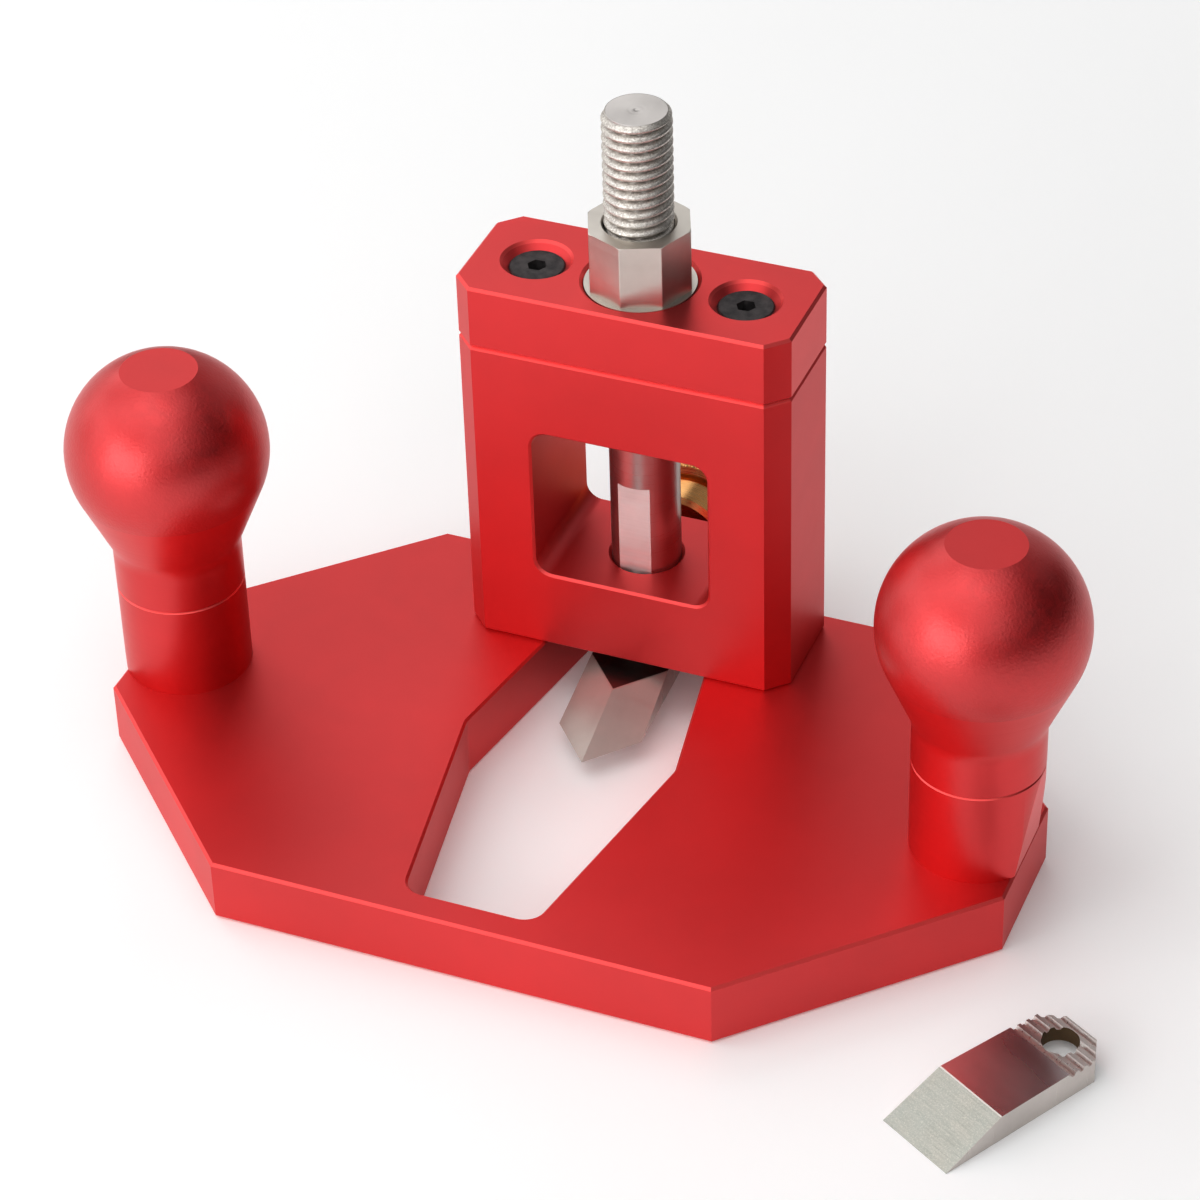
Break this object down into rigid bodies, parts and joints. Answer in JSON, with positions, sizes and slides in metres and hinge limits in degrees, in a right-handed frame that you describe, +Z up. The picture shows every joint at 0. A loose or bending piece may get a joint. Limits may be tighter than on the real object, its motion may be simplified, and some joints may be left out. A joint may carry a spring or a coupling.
{
  "type": "hand router plane",
  "caption": "Hand router plane with an eight-sided base plate, a bridge column, a screw-adjusted cutter post, ball knobs and a spare cutter lying beside it.",
  "frame": {"origin": "where the axis of the cutter post meets the plane of the sole", "axes": "+X from the left knob to the right one, +Y away from the user, +Z up from the sole"},
  "size_m": [0.1623, 0.1086, 0.0972],
  "materials": {
    "red_anodised": "satin red anodised, bright broken edges",
    "red_column": "satin red anodised, bright broken edges",
    "red_cap": "satin red anodised, bright broken edges",
    "red_riser": "turned and red anodised",
    "red_knob": "bead blasted ball and turned neck, red anodised",
    "black_screws": "black oxide",
    "nut_steel": "machined",
    "post_steel": "ground below, cut thread above",
    "pin_steel": "ground",
    "cutter_steel": "ground bevels, polished flat",
    "spare_steel": "ground bevel, polished flat",
    "bronze_washer": "turned",
    "lock_brass": "turned, knurled head"
  },
  "bodies": {
    "tool_frame": {"base_plate": "red_anodised", "column": "red_column", "column_cap": "red_cap", "cap_screws": "black_screws", "column_screws": "black_screws", "thrust_washer": "bronze_washer", "guide_pin": "pin_steel", "riser_left": "red_riser", "riser_right": "red_riser", "knob_left": "red_knob", "knob_right": "red_knob", "knob_screws": "black_screws", "riser_pins": "pin_steel"},
    "nut": {"adjusting_nut": "nut_steel"},
    "post": {"cutter_post": "post_steel", "v_cutter": "cutter_steel", "cutter_screw": "black_screws"},
    "lock": {"lock_screw": "lock_brass"},
    "spare_cutter": {"straight_cutter": "spare_steel"}
  },
  "joints": [
    {"name": "nut_turn", "type": "hinge", "parent": "tool_frame", "child": "nut", "pos_m": [0, 0, 0.07], "axis": [0, 0, 1], "range_deg": [-486, 3606]},
    {"name": "post_slide", "type": "slide", "parent": "tool_frame", "child": "post", "axis": [0, 0, 1], "range_m": [-0.015, 0.002]},
    {"name": "lock_turn", "type": "hinge", "parent": "tool_frame", "child": "lock", "pos_m": [0, 0.015, 0.0162], "axis": [0, 1, 0], "range_deg": [0, 360]},
    {"name": "spare_lift", "type": "slide", "parent": "tool_frame", "child": "spare_cutter", "axis": [0, 0, 1], "range_m": [0, 0.05]}
  ],
  "couplings": [
    {"joint": "nut_turn", "follows": "post_slide", "rad_per_m": -4188.8}
  ]
}
